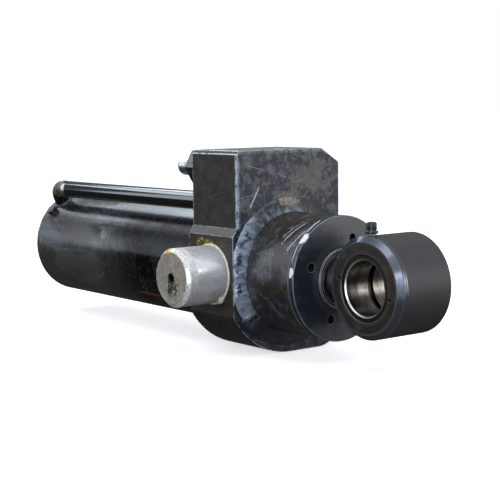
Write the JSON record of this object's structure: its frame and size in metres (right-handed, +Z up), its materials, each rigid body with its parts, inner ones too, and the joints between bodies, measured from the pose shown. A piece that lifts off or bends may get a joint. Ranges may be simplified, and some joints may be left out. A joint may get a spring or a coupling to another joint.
{
  "type": "telescopic hydraulic cylinder",
  "caption": "Telescopic hydraulic cylinder with a trunnion block, a feed pipe along the barrel and a rod eye with a spherical bearing.",
  "frame": {"origin": "where the trunnion axis crosses the cylinder axis", "axes": "+X forward along the cylinder axis to the rod eye, Y along the trunnion axis, +Z up through the valve side of the block"},
  "size_m": [0.834, 0.33, 0.2815],
  "materials": {
    "black_paint": "gloss black paint, dusty and scuffed",
    "block_paint": "dirty black paint",
    "pipe_paint": "gloss black paint",
    "disc_paint": "satin blue-black",
    "eye_paint": "satin dark grey",
    "weld": "painted weld beads",
    "bare_pin": "turned bare steel",
    "bright_steel": "machined steel",
    "retainer_steel": "browned steel",
    "bearing_steel": "ground steel",
    "chrome_rod": "hard chrome",
    "bronze": "bearing bronze",
    "rubber": "seal rubber",
    "guide_plastic": "guide ring resin"
  },
  "bodies": {
    "barrel": {"barrel_tube": "black_paint", "rear_cap": "black_paint", "rear_cap_weld": "weld", "trunnion_block": "block_paint", "gallery_plug": "bright_steel", "front_weld": "weld", "rear_weld": "weld", "trunnion_pin_left": "bare_pin", "trunnion_pin_right": "bare_pin", "pin_welds": "weld", "pipe_elbow": "pipe_paint", "pressure_pipe": "pipe_paint", "pipe_welds": "weld", "bleed_plug": "pipe_paint", "valve_body": "pipe_paint", "valve_end_plug": "bright_steel", "barrel_gland": "bright_steel", "gland_bushes": "bronze", "gland_seal": "rubber", "gland_wiper": "rubber"},
    "stage_guides": {"stage_wear_rings": "guide_plastic", "stage_piston_seal": "rubber"},
    "stage": {"stage_tube": "chrome_rod", "stage_piston": "bright_steel", "stage_head": "disc_paint", "rod_bush": "bronze", "rod_seal": "rubber", "rod_gland_ring": "bright_steel", "rod_wiper": "rubber"},
    "rod_guides": {"rod_wear_rings": "guide_plastic", "rod_piston_seal": "rubber"},
    "rod": {"rod": "chrome_rod", "rod_nut": "bright_steel", "rod_piston": "bright_steel", "rod_eye": "eye_paint", "retainer_ring_left": "retainer_steel", "retainer_ring_right": "retainer_steel", "bearing_outer_ring": "bearing_steel", "grease_nipple": "bright_steel", "nipple_cap": "rubber"},
    "bearing": {"bearing_inner_ring": "bearing_steel", "spacer_left": "bright_steel", "spacer_right": "bright_steel"}
  },
  "joints": [
    {"name": "stage_slide", "type": "slide", "parent": "barrel", "child": "stage_guides", "axis": [1, 0, 0], "range_m": [0, 0.46]},
    {"name": "stage_turn", "type": "hinge", "parent": "stage_guides", "child": "stage", "pos_m": [0, 0, 0], "axis": [1, 0, 0], "continuous": true},
    {"name": "rod_slide", "type": "slide", "parent": "stage", "child": "rod_guides", "axis": [1, 0, 0], "range_m": [0, 0.49]},
    {"name": "rod_turn", "type": "hinge", "parent": "rod_guides", "child": "rod", "pos_m": [0, 0, 0], "axis": [1, 0, 0], "continuous": true},
    {"name": "bearing_spin", "type": "hinge", "parent": "rod", "child": "bearing", "pos_m": [0.2465, 0, 0], "axis": [0, 1, 0], "continuous": true}
  ]
}
